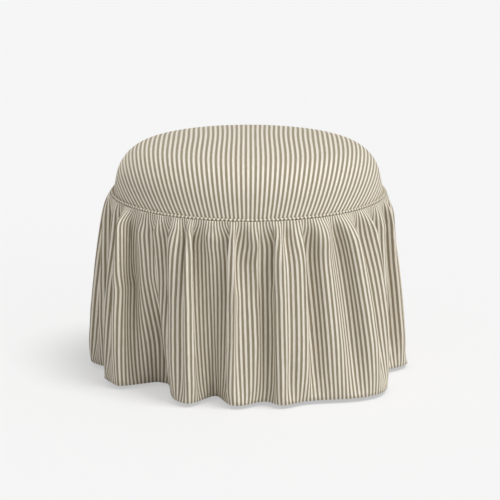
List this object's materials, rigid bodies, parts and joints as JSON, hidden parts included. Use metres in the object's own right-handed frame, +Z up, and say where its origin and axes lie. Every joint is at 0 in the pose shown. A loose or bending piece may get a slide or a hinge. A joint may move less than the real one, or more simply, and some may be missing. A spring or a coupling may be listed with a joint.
{
  "type": "ottoman",
  "caption": "Round upholstered ottoman with a crowned ticking-stripe seat, a self welt and a gathered floor-length skirt over hidden wooden legs",
  "frame": {"origin": "on the floor, under the middle of the seat", "axes": "+Z up from the floor to the crown; +X to the right and -Y to the front, towards the viewer of the picture"},
  "size_m": [0.6181, 0.6052, 0.457],
  "materials": {
    "striped_cloth": "woven ticking stripe, cream and taupe",
    "batting": "polyester fibre wrap",
    "soft_foam": "soft cut foam",
    "firm_foam": "firm cut foam",
    "burlap": "open plain weave",
    "webbing": "herringbone jute",
    "zinc_steel": "bright zinc",
    "plywood": "raw birch plywood",
    "pine": "sawn",
    "hardboard": "smooth pressed board",
    "cotton_cord": "twisted",
    "cotton_tape": "twill tape",
    "card": "uncoated",
    "beech": "clear matt lacquer",
    "nylon": "moulded",
    "cambric": "thin black nonwoven"
  },
  "bodies": {
    "root": {"crown_cover": "striped_cloth", "crown_batting": "batting", "crown_topper_foam": "soft_foam", "seat_foam": "firm_foam", "deck_cloth": "burlap", "webbing_left_right": "webbing", "webbing_front_back": "webbing", "webbing_staples": "zinc_steel", "top_ring": "plywood", "foot_ring": "plywood", "rail_block_1": "pine", "rail_block_2": "pine", "rail_block_3": "pine", "rail_block_4": "pine", "rail_block_5": "pine", "rail_block_6": "pine", "top_ring_screws": "zinc_steel", "foot_ring_screws": "zinc_steel", "rail_band": "hardboard", "cover_staples": "zinc_steel", "welt_cord": "cotton_cord", "welt_cover": "striped_cloth", "skirt_heading_tape": "cotton_tape", "tack_strip": "card", "tack_strip_staples": "zinc_steel", "skirt_front": "striped_cloth", "skirt_back": "striped_cloth", "leg_front_right": "beech", "leg_back_right": "beech", "leg_back_left": "beech", "leg_front_left": "beech", "hanger_bolt_front_right": "zinc_steel", "hanger_bolt_back_right": "zinc_steel", "hanger_bolt_back_left": "zinc_steel", "hanger_bolt_front_left": "zinc_steel", "tee_nut_front_right": "zinc_steel", "tee_nut_back_right": "zinc_steel", "tee_nut_back_left": "zinc_steel", "tee_nut_front_left": "zinc_steel", "glide_front_right": "nylon", "glide_back_right": "nylon", "glide_back_left": "nylon", "glide_front_left": "nylon", "dust_cover": "cambric", "dust_cover_staples": "zinc_steel"}
  },
  "joints": []
}
